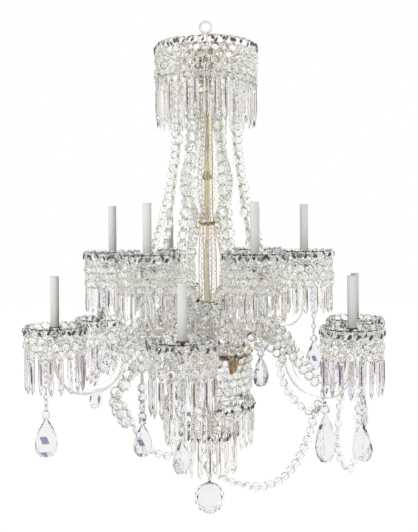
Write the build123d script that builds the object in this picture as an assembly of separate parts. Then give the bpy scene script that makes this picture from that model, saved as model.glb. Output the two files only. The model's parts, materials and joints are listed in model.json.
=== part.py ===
from build123d import *
from math import atan2, ceil, cos, pi, radians, sin, tan
import os

# Crystal chandelier: a crown, two tiers of six glass arms and a waterfall basket on one stem.
# Millimetres, +Z up. The origin is the centre of the hanging loop at the top.
# Angles are counted about the stem from the front (-Y) towards the right (+X).

# ---- driving dimensions ----
crown_radius = 134.0
crown_top, crown_low = -52.0, -148.0
crown_strings = 34
crown_prism_length = 127.0

upper_reach, lower_reach = 264.0, 420.0
upper_angles = (-34, 26, 86, 146, 206, 266)
lower_angles = (-7.6, 57, 98, 172.4, 232.4, 292.4)
upper_rim, lower_rim = -614.0, -796.0
upper_sags, lower_sags = (0,) * 6, (0, 0, 12, 0, 30, 0)    # two arms hang lower than the others
pan_radius, pan_panels, pan_strings = 76.0, 9, 18
upper_drop_length, lower_drop_length = 162.0, 160.0

sleeve_radius, sleeve_wall, sleeve_length = 11.0, 1.3, 138.0
lamp_bore, lamp_bore_depth = 7.0, 30.0

arm_corner = 13.0
upper_plate, lower_plate = -757.0, -885.0
upper_socket_circle, lower_socket_circle = 60.0, 78.0
upper_plate_radius, lower_plate_radius = 84.0, 112.0

middle_ring, middle_ring_radius, middle_strings = -1033.0, 119.0, 28
low_ring, low_ring_radius, low_strings = -1113.0, 74.0, 18
plate_strings, basket_drop_length = 26, 108.0

rod_radius, running_gap = 5.0, 0.05
ball_radius, ball_pin = 42.0, -1242.0
pear_width, pear_length = 56.0, 92.0
wire_thickness = 3.0

os.makedirs("parts", exist_ok=True)


# ---- helpers ----
def save(name, *solids):
    export_step(Compound(list(solids)), f"parts/{name}.step")


def turned_to(angle):
    """Turns a piece drawn along +X, outwards, to its angle about the stem."""
    return Rot(0, 0, angle - 90)


def even(count):
    return [360 * i / count for i in range(count)]


def polygon_solid(rings, closed_ends=True):
    """Flat-faced solid through rings of points, one above the other. A ring of one point is an apex."""
    faces = []
    for lower, upper in zip(rings, rings[1:]):
        count = max(len(lower), len(upper))
        for i in range(count):
            j = (i + 1) % count
            corners = [lower[i % len(lower)], lower[j % len(lower)]]
            corners += [upper[j % len(upper)], upper[i % len(upper)]]
            unique = [p for k, p in enumerate(corners) if p not in corners[:k]]
            faces.append(Face(Wire.make_polygon(unique)))
    if closed_ends:
        faces += [Face(Wire.make_polygon(ring)) for ring in (rings[0], rings[-1]) if len(ring) > 2]
    return Solid(Shell(faces))


def cut_glass(levels, sides=4, flatness=1.0, turn=0.0):
    """Stack of like polygons: (height, corner radius) from the bottom up, thinner along X by flatness."""
    rings = []
    for height, corner in levels:
        if corner == 0:
            rings.append([(0.0, 0.0, height)])
            continue
        spots = [2 * pi * i / sides + radians(turn) for i in range(sides)]
        rings.append([(flatness * corner * cos(s), corner * sin(s), height) for s in spots])
    return polygon_solid(rings)


def panelled_ring(profile, sides):
    """Closed profile of (corner radius, height) carried round a regular polygon."""
    spots = [2 * pi * i / sides for i in range(sides)]
    rings = [[(r * cos(s), r * sin(s), z) for s in spots] for r, z in profile]
    return polygon_solid(rings + rings[:1], closed_ends=False)


def on_rod(profile, sides=12):
    """Panelled piece threaded on the stem rod: its outside from the top down, closed along its bore."""
    bore = (rod_radius + running_gap) / cos(pi / sides)
    return panelled_ring([(bore, profile[0][1]), *profile, (bore, profile[-1][1])], sides)


def turn_at(a, b, c):
    """Headings into and out of the middle point of three, and the turn between them, in radians."""
    heading_in, heading_out = atan2(b[1] - a[1], b[0] - a[0]), atan2(c[1] - b[1], c[0] - b[0])
    return heading_in, heading_out, (heading_out - heading_in + pi) % (2 * pi) - pi


def rounded(points, radii, step):
    """Outline of (x, z) points with its corners rounded by arcs of a few straight steps each."""
    outline = [points[0]]
    for a, b, c, radius in zip(points, points[1:], points[2:], radii):
        heading, _, turn = turn_at(a, b, c)
        side = radius if turn > 0 else -radius
        back = radius * tan(abs(turn) / 2)
        centre_x = b[0] - back * cos(heading) - side * sin(heading)
        centre_z = b[1] - back * sin(heading) + side * cos(heading)
        steps = ceil(abs(turn) / radians(step))
        for i in range(steps + 1):
            now = heading + turn * i / steps
            outline.append((centre_x + side * sin(now), centre_z - side * cos(now)))
    return outline + [points[-1]]


def mitred(route, section):
    """Bar of flat faces along a route of (x, z) points, mitred at each of them."""
    first, last = route[0], route[-1]
    beyond = (2 * last[0] - route[-2][0], 2 * last[1] - route[-2][1])
    before = (2 * first[0] - route[1][0], 2 * first[1] - route[1][1])
    rings = []
    for a, (x, z), c in zip([before, *route], route, [*route[1:], beyond]):
        heading, _, turn = turn_at(a, (x, z), c)
        across, spread = heading + turn / 2 + pi / 2, 1 / cos(turn / 2)
        rings.append([(x + u * spread * cos(across), w, z + u * spread * sin(across)) for u, w in section])
    return polygon_solid(rings)


def section_of(sides, corner, turn=0.0):
    spots = [2 * pi * i / sides + radians(turn) for i in range(sides)]
    return [(corner * cos(s), corner * sin(s)) for s in spots]


def bend_radii(points):
    """Each bend as wide as its two runs allow."""
    radii = []
    for a, b, c in zip(points, points[1:], points[2:]):
        first, second = Vector(b) - Vector(a), Vector(c) - Vector(b)
        half_turn = radians(first.get_angle(second) / 2)
        radii.append(0.45 * min(first.length, second.length) / tan(half_turn))
    return radii


def wire(name, route, thickness):
    """Wire in the plane of its route of (x, z) points: straight runs joined by tangent arcs."""
    points = [(x, 0, z) for x, z in route]
    radii = bend_radii(points)
    path = FilletPolyline(*points, radius=radii)
    section = Plane(path @ 0, x_dir=(0, 1, 0), z_dir=path % 0) * Rectangle(thickness, thickness)
    solid = sweep(section, path).solid()
    print(f"{name}: least bend {min(radii):.0f}, length {path.length:.0f}, "
          f"volume over section x length {solid.volume / (thickness**2 * path.length):.4f}")
    return solid


# ---- crystal that repeats ----
def net_bead(height, width):
    """Bead of a net, its point down on the next one."""
    return cut_glass([(-height / 2, 0), (0, width / 2), (height / 2, 0)], flatness=0.45)


def spear_prism(length, width):
    """Three-sided spear hanging from its top, widest near the tip, its ridge outwards."""
    corner = width / 3**0.5
    return cut_glass([(-length, 0), (-0.72 * length, corner), (0, 0.4 * corner)], sides=3, flatness=0.5)


def fringe_drop(length, width):
    """Spear prism with its string of beads as one long drop, its top a point on the pan's rim."""
    return cut_glass([(-length, 0), (-0.75 * length, width / 3**0.5), (0, 0)], sides=3, flatness=0.5)


# ---- stem ----
loop_inside, loop_outside, loop_width = 12.5, 19.0, 8.0
collar_corner, collar_top, collar_bottom = 9.0, -18.0, -48.0
rod_top, rod_bottom = -36.0, -1215.0


def hanging_loop():
    """Flat ring for the ceiling hook, bored through, on a collar bored for the rod."""
    across = Rot(90, 0, 0)
    ring = across * cut_glass([(-loop_width / 2, loop_outside - 2), (-loop_width / 2 + 2, loop_outside),
                               (loop_width / 2 - 2, loop_outside), (loop_width / 2, loop_outside - 2)], sides=16)
    ring -= across * Cylinder(loop_inside, 2 * loop_width)
    bore = rod_radius + running_gap
    collar = cut_glass([(collar_bottom, collar_corner), (collar_top, collar_corner * 0.8)], sides=12)
    collar -= Pos(0, 0, (rod_top + collar_bottom) / 2) * Cylinder(bore, rod_top - collar_bottom)
    return (ring + collar).solid()


def stem_rod():
    return Solid.make_cylinder(rod_radius, rod_top - rod_bottom, Plane((0, 0, rod_bottom)))


save("hanging_loop", hanging_loop())
save("stem_rod", stem_rod())

# ---- crown ----
band_inside, band_outside, band_height = 131.0, 136.0, 12.0
strut_wide, strut_thick = 6.0, 4.0
boss_corner, boss_top, boss_bottom = 13.0, -104.0, -122.0
lower_ring_inside, lower_ring_thick = 116.0, 3.0
net_rows = 3


def crown_frame():
    """Band ring, a flat for each string, on struts that slope down to a boss on the rod."""
    low = crown_top - band_height
    frame = panelled_ring([(band_inside, crown_top), (band_outside, crown_top),
                           (band_outside, low), (band_inside, low)], crown_strings)
    start = Vector(boss_corner - 3, 0, (boss_top + boss_bottom) / 2)
    end = Vector(band_inside + 1, 0, (crown_top + low) / 2)
    strut = extrude(Plane(start, x_dir=(0, 1, 0), z_dir=end - start) * Rectangle(strut_wide, strut_thick),
                    (end - start).length)
    struts = [turned_to(angle) * strut for angle in upper_angles]
    return (frame + struts + on_rod([(boss_corner, boss_top), (boss_corner, boss_bottom)])).solid()


def crown_lower_ring():
    low = crown_low - lower_ring_thick
    return panelled_ring([(lower_ring_inside, crown_low), (band_outside, crown_low),
                          (band_outside, low), (lower_ring_inside, low)], crown_strings)


def crown_bead_net():
    """Vertical strings of beads between the two rings."""
    top = crown_top - band_height
    step = (top - crown_low) / net_rows
    bead = net_bead(step, 20)
    return [turned_to(angle) * Pos(crown_radius, 0, top - (row + 0.5) * step) * bead
            for angle in even(crown_strings) for row in range(net_rows)]


def hung_round(piece, radius, height, count):
    """Copies of a hanging piece round the stem."""
    return [turned_to(angle) * Pos(radius, 0, height) * piece for angle in even(count)]


save("crown_frame", crown_frame())
save("crown_lower_ring", crown_lower_ring())
save("crown_bead_net", *crown_bead_net())
save("crown_prisms", *hung_round(spear_prism(crown_prism_length, 15), crown_radius,
                                 crown_low - lower_ring_thick, crown_strings))
save("crown_top_disc", on_rod([(12, -72), (36, -79), (36, -81), (12, -79), (9, -90)], sides=16))
save("crown_gallery", on_rod([(25, -151), (25, -153), (12, -156), (26, -170), (28, -181), (9, -184)], sides=16))

# ---- stem glass and brass ----
straight_wires, slack_wires, notch_inside = (20, 110, 200, 290), (-8, 62, 172, 240), 17.0
save("stem_spindle", on_rod([(11, -195), (7.5, -240), (7.5, -290), (12, -318), (8, -346)]))
save("wire_tie", on_rod([(8, -396), (14, -414), (9, -420)]))


def stem_baluster():
    """Blown glass vase, open at both ends, round the wires and standing on the brass disc."""
    outside = [(34, -300), (44, -345), (64, -405), (66, -440), (50, -485), (29, -515), (27, -535)]
    inside = [(r - 3.5, z) for r, z in reversed(outside)]
    return panelled_ring(outside + inside, 14)


def stem_disc():
    """Brass disc under the vase, notched where the wires pass."""
    disc = on_rod([(30, -535), (30, -538), (10, -546)])
    notch = Pos(notch_inside + 10, 0, -540) * Box(20, 5, 20)
    return (disc - [turned_to(angle) * notch for angle in straight_wires + slack_wires]).solid()


save("stem_baluster", stem_baluster())
save("stem_disc", stem_disc())

# ---- arm plates ----
socket_top, socket_low, socket_depth, plate_thick, plate_rim = 17.0, 9.0, 56.0, 5.0, 9.0


def arm_plate(height, radius, circle, angles, sides):
    """Brass plate with a turned-down rim and a conical socket under each arm."""
    low = height - plate_thick
    plate = on_rod([(16, height + 6), (20, height), (radius, height), (radius, low - plate_rim),
                    (radius - 3, low - plate_rim), (radius - 3, low), (18, low)], sides)
    socket = Pos(circle, 0, 0) * cut_glass([(low - socket_depth, socket_low), (low, socket_top)], sides=8)
    return (plate + [turned_to(angle) * socket for angle in angles]).solid()


save("upper_arm_plate", arm_plate(upper_plate, upper_plate_radius, upper_socket_circle, upper_angles, 18))
save("lower_arm_plate", arm_plate(lower_plate, lower_plate_radius, lower_socket_circle, lower_angles,
                                  plate_strings))
save("hub_bowl", on_rod([(30, -784), (45, -808), (45, -824), (14, -868), (15, -879)]))

# ---- glass arms ----
arm_end_drop, arm_step = 42.0, 40.0
upper_route = [(upper_socket_circle, upper_plate), (upper_socket_circle, -702), (150, -737), (172, -810),
               (upper_reach, -810), (upper_reach, upper_rim - arm_end_drop)]
upper_bends, lower_bends = [30, 60, 50, 45], [45, 85, 70, 70]


def lower_route(sag):
    return [(lower_socket_circle, lower_plate), (lower_socket_circle, -807), (232, -844 - sag / 2),
            (262, -970 - sag), (lower_reach, -970 - sag), (lower_reach, lower_rim - sag - arm_end_drop)]


def glass_arm(route, bends):
    """Panel-cut arm, six-sided, from its socket over the hump and up to its candle."""
    return mitred(rounded(route, bends, arm_step), section_of(6, arm_corner))


upper_arm = glass_arm(upper_route, upper_bends)
for i, angle in enumerate(upper_angles, 1):
    save(f"upper_arm_{i}", turned_to(angle) * upper_arm)
for i, (angle, sag) in enumerate(zip(lower_angles, lower_sags), 1):
    save(f"lower_arm_{i}", turned_to(angle) * glass_arm(lower_route(sag), lower_bends))

# ---- pans, cups, sleeves and lampholders, drawn with the pan's rim at zero ----
tiers = {
    "upper": (upper_reach, upper_rim, upper_angles, upper_sags, upper_drop_length),
    "lower": (lower_reach, lower_rim, lower_angles, lower_sags, lower_drop_length),
}
foot_corner, hole_top, foot_top, cup_corner, cup_top = 10.5, -36.0, -33.0, 15.0, -14.0
rim_low, rim_land, drop_circle = -4.0, 8.0, 69.0
sleeve_sides, holder_sides, holder_recess = 10, 6, 3.0


def pan_places(tier):
    reach, rim, angles, sags, _ = tiers[tier]
    return [turned_to(angle) * Pos(reach, 0, rim - sag) for angle, sag in zip(angles, sags)]


def at_pans(tier, *pieces):
    """Copies of pieces drawn about a candle's axis, at each arm of a tier."""
    return [place * piece for place in pan_places(tier) for piece in pieces]


def glass_pan():
    """Dish of nine cut panels with a flat underside at its rim for the fringe."""
    hole = foot_corner + 0.8
    return panelled_ring([(pan_radius, 0), (hole, hole_top), (hole, -arm_end_drop), (24, -arm_end_drop),
                          (pan_radius - rim_land, rim_low), (pan_radius, rim_low)], pan_panels)


def candle_cup():
    return cut_glass([(-arm_end_drop, foot_corner), (foot_top, foot_corner), (foot_top, cup_corner),
                      (cup_top, cup_corner)], sides=6)


def candle_sleeve():
    bore, top = sleeve_radius - sleeve_wall, cup_top + sleeve_length
    return panelled_ring([(bore, cup_top), (sleeve_radius, cup_top), (sleeve_radius, top), (bore, top)],
                         sleeve_sides)


def lampholder():
    """Insulated holder that fills the sleeve, with a blind bore for the lamp's cap."""
    corner = (sleeve_radius - sleeve_wall) * cos(pi / sleeve_sides) - 0.1
    top = cup_top + sleeve_length - holder_recess
    outside, bore = section_of(holder_sides, corner), section_of(holder_sides, lamp_bore)
    levels = [(outside, cup_top), (outside, top), (bore, top), (bore, top - lamp_bore_depth)]
    return polygon_solid([[(x, y, z) for x, y in ring] for ring, z in levels])


def pan_fringe(length):
    """Drops hung close together under the pan's rim."""
    drop = fringe_drop(length, 16)
    half_pitch = 180 / pan_strings
    return [Rot(0, 0, angle + half_pitch) * Pos(drop_circle, 0, rim_low) * drop for angle in even(pan_strings)]


for tier, (*_, drop_length) in tiers.items():
    save(f"{tier}_pans", *at_pans(tier, glass_pan()))
    save(f"{tier}_sleeves", *at_pans(tier, candle_sleeve()))
    save(f"{tier}_pan_prisms", *at_pans(tier, *pan_fringe(drop_length)))
save("candle_cups", *at_pans("upper", candle_cup()), *at_pans("lower", candle_cup()))
save("lampholders", *at_pans("upper", lampholder()), *at_pans("lower", lampholder()))

# ---- pear drops on strands, swinging on pins under the pans ----
pin_corner, pin_drop, pin_reach, eye_offset = 1.9, 50.0, 34.0, 24.0
eye_inside, eye_outside, eye_wide = 2.0, 4.5, 4.0
string_thick, bead_height = 1.6, 20.0
pear_levels = [(1, 0), (0.8, 0.8), (0.62, 1), (0.22, 0.42), (0, 0.06)]
hangs = {    # strand length, size of the pear, and its face's turn from the front
    "upper": [(344, 0.85, 0), (178, 0.8, 15), (178, 0.85, 0), (178, 0.8, 0), (178, 0.8, 30), (178, 0.85, -20)],
    "lower": [(150, 0.75, 10), (160, 1.0, -57), (148, 0.95, 75), (160, 1.0, 0), (130, 0.9, 35), (160, 1.05, 0)],
}


def hinge_pin(start, end):
    """Six-sided wire pin along X."""
    return Rot(0, 90, 0) * cut_glass([(start, pin_corner), (end, pin_corner)], sides=6)


def square_eye():
    """Square wire eye, a running fit on its pin."""
    corner, half = 2**0.5, eye_wide / 2
    profile = [(eye_inside * corner, -half), (eye_outside * corner, -half),
               (eye_outside * corner, half), (eye_inside * corner, half)]
    return Rot(0, 90, 0) * Rot(0, 0, 45) * panelled_ring(profile, 4)


def pear_drop(strand_length, scale, turn, stretch=1.0):
    """Eye, string, bead and pear turned on its string, hanging from a pin at zero."""
    string_low = -eye_outside - strand_length
    string = cut_glass([(string_low, string_thick / 2), (-eye_outside, string_thick / 2)], turn=45)
    bead = Pos(0, 0, string_low - bead_height * scale / 2) * net_bead(bead_height * scale, 20 * scale)
    top = string_low - bead_height * scale
    tall = scale * pear_length * stretch
    levels = [(top - tall * down, scale * pear_width / 2 * out) for down, out in pear_levels]
    pear = Rot(0, 0, turn) * cut_glass(levels, sides=6, flatness=0.4, turn=30)
    return [square_eye(), string, bead, pear]


for tier, sizes in hangs.items():
    angles = tiers[tier][2]
    for i, (place, angle, (length, scale, face)) in enumerate(zip(pan_places(tier), angles, sizes), 1):
        pin = place * Pos(eye_offset, 0, -pin_drop)
        save(f"{tier}_pear_drop_{i}", *[pin * piece for piece in pear_drop(length, scale, face - angle)])
drop_pin = Pos(0, 0, -pin_drop) * hinge_pin(arm_corner, pin_reach)
save("drop_pins", *at_pans("upper", drop_pin), *at_pans("lower", drop_pin))

# ---- large pear under the second lower arm, on a clip round the arm ----
clip_reach, clip_gap, clip_wide, clip_thick, clip_foot, clip_pin = 342.0, 0.05, 6.0, 2.0, -996.0, -991.0
arm_low, arm_pear_reach, arm_pear_stretch = lower_route(0)[-2][1], 347.0, 1.33


def arm_clip():
    """Six-sided band closed round the arm, with a foot under it and a pin pointing outwards."""
    inner, outer, half = arm_corner + clip_gap, arm_corner + clip_thick, clip_wide / 2
    band = Rot(0, 90, 0) * panelled_ring([(inner, -half), (outer, -half), (outer, half), (inner, half)], 6)
    foot_top = arm_low - arm_corner - clip_gap - 1
    foot = Pos(clip_reach, 0, (foot_top + clip_foot) / 2) * Box(3, 5, foot_top - clip_foot)
    return (Pos(clip_reach, 0, arm_low) * band + foot + Pos(clip_reach, 0, clip_pin) * hinge_pin(0, 9)).solid()


second_arm = lower_angles[1]
arm_pear = pear_drop(3, 1.0, -second_arm, arm_pear_stretch)
save("arm_clip", turned_to(second_arm) * arm_clip())
save("arm_pear_drop", *[turned_to(second_arm) * Pos(arm_pear_reach, 0, clip_pin) * piece for piece in arm_pear])

# ---- waterfall basket ----
basket_band, basket_thick, spoke_wide, basket_boss = 6.0, 3.0, 7.0, 12.0


def basket_ring(height, radius, sides):
    """Thin brass ring on six flat spokes, threaded on the rod."""
    low, inside, outside = height - basket_thick, radius - basket_band / 2, radius + basket_band / 2
    ring = panelled_ring([(inside, height), (outside, height), (outside, low), (inside, low)], sides)
    reach = inside + 1 - basket_boss + 4
    spoke = Pos(basket_boss - 4 + reach / 2, 0, height - basket_thick / 2) * Box(reach, spoke_wide, basket_thick)
    spokes = [turned_to(angle) * spoke for angle in even(6)]
    return (ring + spokes + on_rod([(basket_boss, height + 2), (basket_boss, low - 4)])).solid()


basket_prism = spear_prism(basket_drop_length, 15)
plate_rim_low = lower_plate - plate_thick - plate_rim
save("basket_ring_middle", basket_ring(middle_ring, middle_ring_radius, middle_strings))
save("basket_ring_low", basket_ring(low_ring, low_ring_radius, low_strings))
save("basket_prisms_top", *hung_round(basket_prism, lower_plate_radius - 2, plate_rim_low, plate_strings))
save("basket_prisms_middle", *hung_round(basket_prism, middle_ring_radius, middle_ring - basket_thick,
                                         middle_strings))
save("basket_prisms_low", *hung_round(basket_prism, low_ring_radius, low_ring - basket_thick, low_strings))

# ---- finial and ball ----
finial_top, finial_waist, finial_low = -1196.0, -1226.0, -1234.5
fork_gap, fork_thick = 5.0, 3.0


def bottom_finial():
    """Finial closing the rod, with a fork and the pin for the ball's eye."""
    body = cut_glass([(finial_low, 9), (finial_waist, 9), (finial_top - 12, 19), (finial_top, 14)], sides=12)
    body -= Pos(0, 0, (finial_top + rod_bottom) / 2) * Cylinder(rod_radius + running_gap, finial_top - rod_bottom)
    fork_low = ball_pin - 3
    side = Box(fork_thick, 6, finial_low - fork_low)
    for x in (-1, 1):
        body += Pos(x * (fork_gap + fork_thick) / 2, 0, (finial_low + fork_low) / 2) * side
    return (body + Pos(0, 0, ball_pin) * hinge_pin(-fork_gap / 2 - 1, fork_gap / 2 + 1)).solid()


def ball_drop():
    """Faceted ball with a cap and an eye that swings on the finial's pin."""
    cap_height, top_corner = 4.5, 6.0
    high = ball_pin - eye_outside - cap_height
    centre = high - ball_radius * cos(top_corner / ball_radius)
    tilts = [radians(t) for t in (-66, -40, -14, 14, 40, 66)]
    levels = [(centre + ball_radius * sin(t), ball_radius * cos(t)) for t in tilts]
    ball = cut_glass([(centre - ball_radius, 0), *levels, (high, top_corner)], sides=10)
    cap = cut_glass([(high, 5), (ball_pin - eye_outside, 2.6)], sides=8)
    return [ball, cap, Pos(0, 0, ball_pin) * square_eye()]


save("bottom_finial", bottom_finial())
save("ball_drop", *ball_drop())

# ---- lamp wires down the stem: through the tie's waist and inside the baluster ----
straight_route = [(18, -184.5), (15.5, -280), (17, -410), (16, -480), (19.5, -537), (27, -640), (24, -756)]
slack_route = [(18, -184.5), (16.5, -280), (17, -410), (16, -480), (19.5, -537), (47, -632), (40, -690), (52, -756)]
wires = [(straight_route, angle) for angle in straight_wires] + [(slack_route, angle) for angle in slack_wires]
save("lamp_wires", *[turned_to(angle) * wire(f"lamp wire at {angle} degrees", route, wire_thickness)
                     for route, angle in wires])

# ---- bead chains and swags, as plain strands ----
inner_chain = [(72, -89.5), (74, -288), (80, -357), (90, -426), (98, -492), (110, -552), (117, -600), (121, -694)]
outer_chain = [(88, -152), (86, -288), (90, -357), (101, -426), (116, -492), (132, -552), (147, -600), (160, -690)]
outer_width, inner_width = 8.0, 10.0
outer_chain_angles = (upper_angles[2], upper_angles[5])
short_swag = [(221, -894), (220, -926), (236, -964), (262, -997), (300, -1020), (324, -1014), (335, -999)]
finial_swag = [(334, -986), (331, -1020), (326, -1050), (314, -1092), (278, -1146), (233, -1196), (190, -1226),
               (147, -1238), (110, -1241), (60, -1238), (16, -1224)]
long_swag = [(378, -997), (372, -1060), (364, -1139), (370, -1212), (398, -1244), (418, -1212),
             (424, -1139), (428, -1020), (430, -962)]
ring_swag = [(264, -990), (245, -1008), (226, -1041), (215, -1073), (196, -1114), (165, -1146),
             (118, -1168), (94, -1154), (82, -1120)]
swags = [(short_swag, second_arm, 0), (finial_swag, second_arm, 9), (long_swag, lower_angles[2], 0),
         (ring_swag, lower_angles[5], 0)]


def strand(route, width, angle, aside=0.0):
    """Square strand as wide as its beads, in a vertical plane at an angle about the stem."""
    return turned_to(angle) * Pos(0, aside, 0) * mitred(route, section_of(4, width / 2, 45))


outer_chains = [strand(outer_chain, outer_width, angle, 4) for angle in outer_chain_angles]
inner_chains = [strand(inner_chain, inner_width, angle) for angle in upper_angles]
save("bead_chains", *outer_chains, *inner_chains)
garland_aside, bare_arm = 19.0, lower_angles[2]


def garland_route(sag):
    """From beside the upper plate, over the arm's shoulder, to short of its pan."""
    return [(90, -770), (150, -800), (215, -822), (247, -852 - sag / 2), (285, -905 - sag), (330, -940 - sag)]


garlands = [strand(garland_route(sag), outer_width, angle, side * garland_aside)
            for angle, sag in zip(lower_angles, lower_sags) if angle != bare_arm for side in (-1, 1)]
save("bead_swags", *[strand(route, outer_width, angle, aside) for route, angle, aside in swags], *garlands)
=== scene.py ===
import bpy
import json
import math
import random
from mathutils import Matrix, Vector


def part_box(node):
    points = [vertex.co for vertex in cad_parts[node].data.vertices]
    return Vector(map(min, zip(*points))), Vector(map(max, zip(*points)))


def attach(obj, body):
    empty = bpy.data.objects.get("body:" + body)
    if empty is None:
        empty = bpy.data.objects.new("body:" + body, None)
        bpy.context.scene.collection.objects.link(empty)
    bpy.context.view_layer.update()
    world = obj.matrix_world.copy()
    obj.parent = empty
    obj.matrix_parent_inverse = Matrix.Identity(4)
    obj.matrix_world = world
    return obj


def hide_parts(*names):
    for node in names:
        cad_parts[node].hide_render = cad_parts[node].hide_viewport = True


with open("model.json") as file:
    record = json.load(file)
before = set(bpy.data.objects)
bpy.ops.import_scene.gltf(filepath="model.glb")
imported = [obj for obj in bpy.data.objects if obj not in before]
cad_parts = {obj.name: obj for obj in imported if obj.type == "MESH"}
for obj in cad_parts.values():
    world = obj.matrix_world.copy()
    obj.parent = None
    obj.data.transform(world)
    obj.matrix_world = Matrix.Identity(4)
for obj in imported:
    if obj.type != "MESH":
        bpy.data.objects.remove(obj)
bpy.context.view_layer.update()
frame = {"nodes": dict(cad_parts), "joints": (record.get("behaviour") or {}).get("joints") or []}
print("frame loaded")


# camera
camera = {
    "distance": 2.062,      # metres from the stem
    "eyeLevel": -0.552,     # the lens, below the hanging loop
    "side": 0.0047,
    "roll": 0.5,            # degrees
    "sensor": 36,
    "focal": 750 / 532,     # of the picture's height
    "horizon": 38 / 532,    # of the picture's height, above its middle
}


def placeCamera():
    place = (camera["side"], -camera["distance"], camera["eyeLevel"])
    turn = (math.pi / 2, math.radians(camera["roll"]), 0)
    bpy.ops.object.camera_add(location=place, rotation=turn)
    cam = bpy.context.object
    cam.name = "photoCamera"
    cam.data.sensor_width = camera["sensor"]
    cam.data.lens = camera["sensor"] * camera["focal"]
    cam.data.shift_y = -camera["horizon"]
    bpy.context.scene.camera = cam


placeCamera()


# node helpers
def clearNodes(owner):
    owner.use_nodes = True
    owner.node_tree.nodes.clear()
    return owner.node_tree


def fill(tree, node, inputs):
    # another node's output is linked, anything else is set
    for name, value in inputs.items():
        if isinstance(value, bpy.types.NodeSocket):
            tree.links.new(value, node.inputs[name])
        else:
            node.inputs[name].default_value = value


def addNode(tree, kind, inputs={}, **values):
    node = tree.nodes.new("ShaderNode" + kind)
    for name, value in values.items():
        setattr(node, name, value)
    fill(tree, node, inputs)
    return node


def calc(tree, operation, *inputs, clamp=False):
    inputs = dict(enumerate(inputs))
    return addNode(tree, "Math", inputs, operation=operation, use_clamp=clamp).outputs[0]


def placeIn(tree):
    # the piece's own place, which is the shared frame
    return addNode(tree, "TexCoord").outputs["Object"]


def ramp(tree, source, stops):
    node = addNode(tree, "ValToRGB", {0: source})
    marks = node.color_ramp.elements
    while len(marks) < len(stops):
        marks.new(0.5)
    for mark, (at, colour) in zip(marks, stops):
        mark.position = at
        mark.color = (*colour, 1)
    return node.outputs[0]


def mixed(tree, share, first, second, blend="MIX"):
    return addNode(tree, "MixRGB", {0: share, 1: first, 2: second}, blend_type=blend).outputs[0]


# studio
studio = {
    "floorHeight": -2.3,
    "floorSize": 30,
    "floorTone": 0.9,
    "floorGlow": 1.12,      # brings the unshaded floor up to white
    "glowShare": 0.75,
    "stripCount": 8,        # dark flags round the studio, seen only in glass and metal
    "stripWidth": 0.30,
    "stripEdge": 6,
    "stripDark": 0.78,
    "ceiling": 0.98,        # tone far above and far below
    "ceilingFrom": 0.45,
    "ceilingEdge": 3,
    "ambient": 0.80,
    "keyPower": 32,
    "keySize": 1.6,
    "keyPlace": (-2.2, -2.4, 1.2),
    "bounces": 28,
}


def lookRays(tree):
    # rays from the lens, and rays that glass and metal see by
    path = addNode(tree, "LightPath")
    glossy, through = path.outputs["Is Glossy Ray"], path.outputs["Is Transmission Ray"]
    return path.outputs["Is Camera Ray"], calc(tree, "MAXIMUM", glossy, through)


def past(tree, value, start, edge):
    # 0 up to the start, then up to 1, the faster the larger the edge
    return calc(tree, "MULTIPLY", calc(tree, "SUBTRACT", value, start), edge, clamp=True)


def dimmed(tree, mask, tone):
    # 1 where the mask is 0, the tone where it is 1
    return calc(tree, "SUBTRACT", 1, calc(tree, "MULTIPLY", mask, 1 - tone))


def buildWorld():
    world = bpy.data.worlds.new("studio")
    bpy.context.scene.world = world
    tree = clearNodes(world)
    direction = addNode(tree, "TexCoord").outputs["Generated"]
    x, y, z = addNode(tree, "SeparateXYZ", {0: direction}).outputs
    heading = calc(tree, "ARCTAN2", y, x)
    wave = calc(tree, "COSINE", calc(tree, "MULTIPLY", heading, studio["stripCount"]))
    strip = past(tree, calc(tree, "MULTIPLY", wave, -1), 1 - studio["stripWidth"],
                 studio["stripEdge"])
    high = past(tree, calc(tree, "ABSOLUTE", z), studio["ceilingFrom"], studio["ceilingEdge"])
    light = calc(tree, "MULTIPLY", dimmed(tree, strip, studio["stripDark"]),
                 dimmed(tree, high, studio["ceiling"]))
    cameraRay, seenRay = lookRays(tree)
    unseen = calc(tree, "SUBTRACT", 1, seenRay)
    pattern = calc(tree, "ADD", calc(tree, "MULTIPLY", light, seenRay),
                   calc(tree, "MULTIPLY", studio["ambient"], unseen))
    strength = calc(tree, "MAXIMUM", pattern, cameraRay)
    back = addNode(tree, "Background", {"Color": (1, 1, 1, 1), "Strength": strength})
    addNode(tree, "OutputWorld", {0: back.outputs[0]})


def buildFloor():
    bpy.ops.mesh.primitive_plane_add(size=studio["floorSize"],
                                     location=(0, 0, studio["floorHeight"]))
    floor = bpy.context.object
    floor.name = "floor"
    material = bpy.data.materials.new("paleFloor")
    tree = clearNodes(material)
    matte = addNode(tree, "BsdfDiffuse", {"Color": (*[studio["floorTone"]] * 3, 1)})
    glow = addNode(tree, "Emission", {"Color": (1, 1, 1, 1), "Strength": studio["floorGlow"]})
    share = calc(tree, "MULTIPLY", calc(tree, "MAXIMUM", *lookRays(tree)), studio["glowShare"])
    mix = addNode(tree, "MixShader", {0: share, 1: matte.outputs[0], 2: glow.outputs[0]})
    addNode(tree, "OutputMaterial", {0: mix.outputs[0]})
    floor.data.materials.append(material)


def buildStudio():
    scene = bpy.context.scene
    scene.view_settings.view_transform = "Standard"
    scene.cycles.max_bounces = studio["bounces"]
    scene.cycles.transmission_bounces = studio["bounces"]
    scene.cycles.caustics_reflective = False
    scene.cycles.caustics_refractive = False
    buildWorld()
    buildFloor()
    bpy.ops.object.light_add(type="AREA", location=studio["keyPlace"])
    key = bpy.context.object
    key.name = "keyLight"
    key.data.size = studio["keySize"]
    key.data.energy = studio["keyPower"]
    aim = Vector((0, 0, camera["eyeLevel"])) - Vector(studio["keyPlace"])
    key.rotation_euler = aim.to_track_quat("-Z", "Y").to_euler()


buildStudio()
print("studio ready")


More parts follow.
